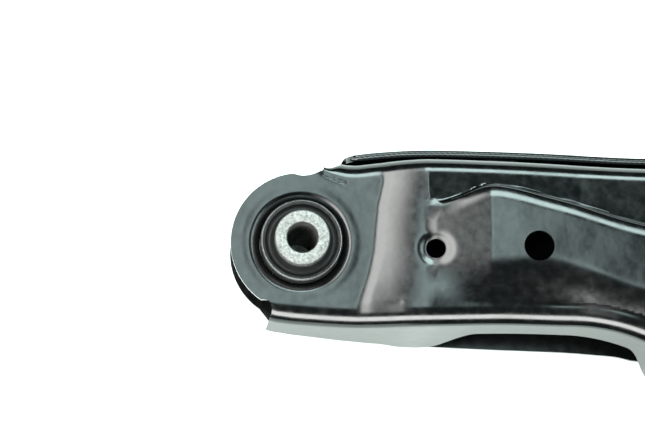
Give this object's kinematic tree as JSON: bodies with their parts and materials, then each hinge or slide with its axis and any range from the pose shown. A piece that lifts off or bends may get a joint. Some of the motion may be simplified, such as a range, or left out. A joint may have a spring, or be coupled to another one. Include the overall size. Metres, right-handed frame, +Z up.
{
  "type": "control arm",
  "caption": "Pressed-steel L-shaped suspension control arm with rubber bushes, a riveted ball joint, its boot, stud, castle nut and cotter pin.",
  "frame": {"origin": "middle of the bounding box at the resting face: the lower ends of both inner sleeves and of the ball joint housing", "axes": "+X along the front leg from the front bush towards the ball joint, +Y from the rear bush towards the front bush, +Z up along the ball stud"},
  "size_m": [0.4174, 0.3502, 0.104],
  "materials": {
    "paint": "gloss black electrocoat paint",
    "sleeve_steel": "phosphated steel tube",
    "bare_sleeve": "bare grey granular steel",
    "rubber": "matte black moulded rubber",
    "forged": "satin black painted forging",
    "seat_plastic": "white acetal",
    "plated": "zinc plated steel",
    "machined": "machined steel"
  },
  "bodies": {
    "arm": {"ball_joint_cap": "plated", "ball_joint_housing": "forged", "ball_joint_rivet_1": "plated", "ball_joint_rivet_2": "plated", "ball_joint_rivet_3": "plated", "ball_seat": "seat_plastic", "front_bush_outer_sleeve": "sleeve_steel", "front_bush_rubber": "rubber", "inner_weld_arc": "paint", "lower_shell": "paint", "rear_bush_outer_sleeve": "sleeve_steel", "rear_bush_rubber": "rubber", "rim_weld_far": "paint", "rim_weld_outer": "paint", "upper_shell": "paint"},
    "front_sleeve": {"front_bush_inner_sleeve": "bare_sleeve"},
    "rear_sleeve": {"rear_bush_inner_sleeve": "bare_sleeve"},
    "boot_base": {"boot_lower_ring": "plated", "dust_boot": "rubber"},
    "boot_neck": {"boot_upper_ring": "plated"},
    "stud": {"ball_stud": "machined", "castle_nut": "plated", "cotter_pin": "plated"}
  },
  "joints": [
    {"name": "front_bush_twist", "type": "hinge", "parent": "arm", "child": "front_sleeve", "pos_m": [-0.17571, 0.1267, 0.034], "axis": [0, 0, 1], "range_deg": [-20, 20], "stiffness_Nm_per_rad": 1},
    {"name": "rear_bush_twist", "type": "hinge", "parent": "arm", "child": "rear_sleeve", "pos_m": [-0.08071, -0.1353, 0.034], "axis": [0, 0, 1], "range_deg": [-15, 15], "stiffness_Nm_per_rad": 1},
    {"name": "boot_swivel", "type": "hinge", "parent": "arm", "child": "boot_base", "pos_m": [0.16929, 0.1067, 0.026], "axis": [0, 0, 1], "continuous": true},
    {"name": "ball_tilt", "type": "hinge", "parent": "boot_base", "child": "boot_neck", "pos_m": [0.16929, 0.1067, 0.026], "axis": [1, 0, 0], "range_deg": [-20, 20], "deforming": ["dust_boot"]},
    {"name": "stud_spin", "type": "hinge", "parent": "boot_neck", "child": "stud", "pos_m": [0.16929, 0.1067, 0.026], "axis": [0, 0, 1], "continuous": true}
  ]
}
